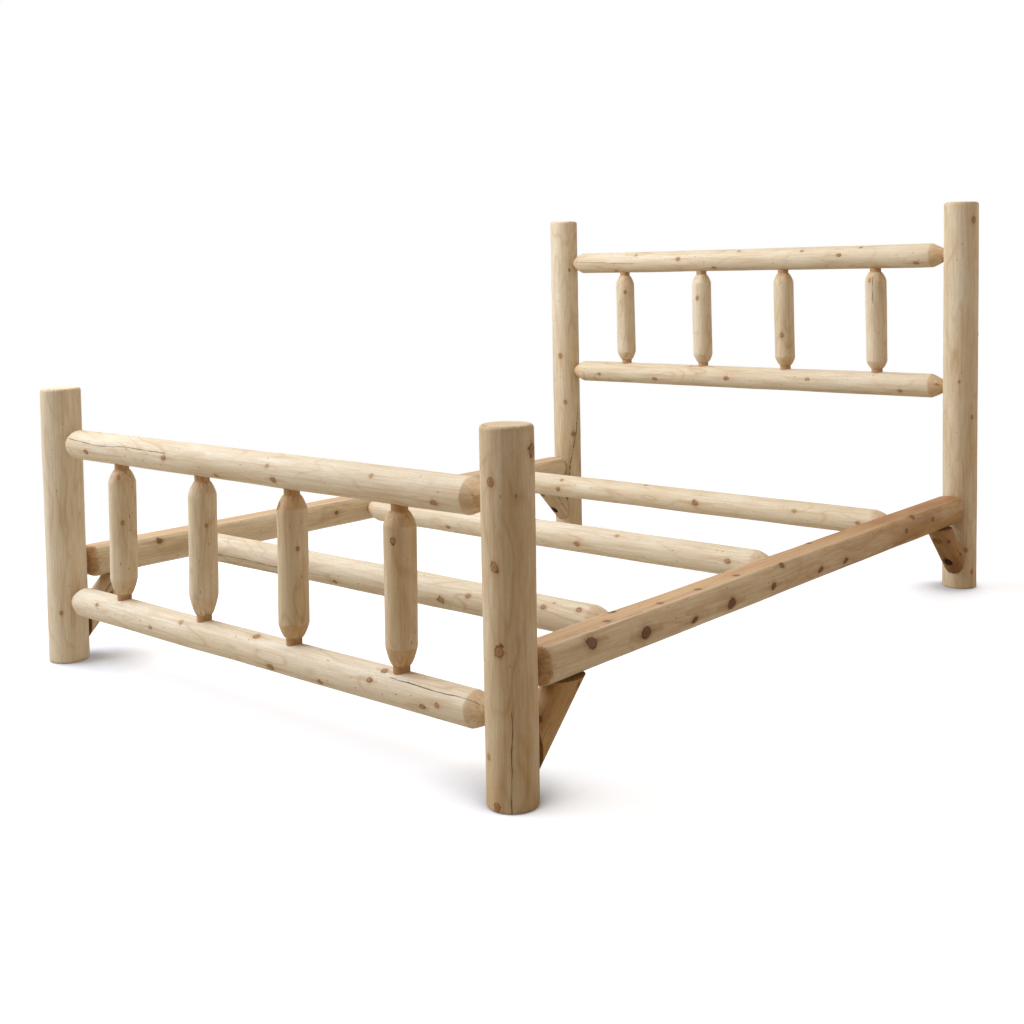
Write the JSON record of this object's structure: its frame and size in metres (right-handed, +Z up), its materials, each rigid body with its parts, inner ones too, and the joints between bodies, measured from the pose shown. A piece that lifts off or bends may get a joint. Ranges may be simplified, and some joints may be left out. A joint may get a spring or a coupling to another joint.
{
  "type": "bed frame",
  "caption": "Rustic log bed frame with spindled headboard and footboard, flat-topped side rails, cross logs and corner braces, joined by round shouldered tenons.",
  "frame": {"origin": "on the floor, midway between the four posts", "axes": "+X across the bed to its right side as seen from the foot, +Y from the foot to the head, +Z up"},
  "size_m": [1.6899, 2.304, 1.219],
  "materials": {
    "peeled_log": "peeled and lightly sanded, clear matt",
    "sawn_log": "peeled, sawn flat on top, clear matt",
    "brace_wood": "sawn ends, clear matt",
    "zinc_steel": "zinc plated"
  },
  "bodies": {
    "root": {"foot_post_left": "peeled_log", "foot_post_right": "peeled_log", "head_post_left": "peeled_log", "head_post_right": "peeled_log", "foot_rail_lower": "peeled_log", "foot_rail_upper": "peeled_log", "head_rail_lower": "peeled_log", "head_rail_upper": "peeled_log", "foot_spindle_1": "peeled_log", "foot_spindle_2": "peeled_log", "foot_spindle_3": "peeled_log", "foot_spindle_4": "peeled_log", "head_spindle_1": "peeled_log", "head_spindle_2": "peeled_log", "head_spindle_3": "peeled_log", "head_spindle_4": "peeled_log", "side_rail_left": "sawn_log", "side_rail_right": "sawn_log", "cross_log_foot": "peeled_log", "cross_log_middle": "peeled_log", "cross_log_head": "peeled_log", "brace_foot_left": "brace_wood", "brace_foot_right": "brace_wood", "brace_head_left": "brace_wood", "brace_head_right": "brace_wood", "brace_washers": "zinc_steel", "brace_to_post_screws": "zinc_steel", "brace_to_rail_screws": "zinc_steel"}
  },
  "joints": []
}
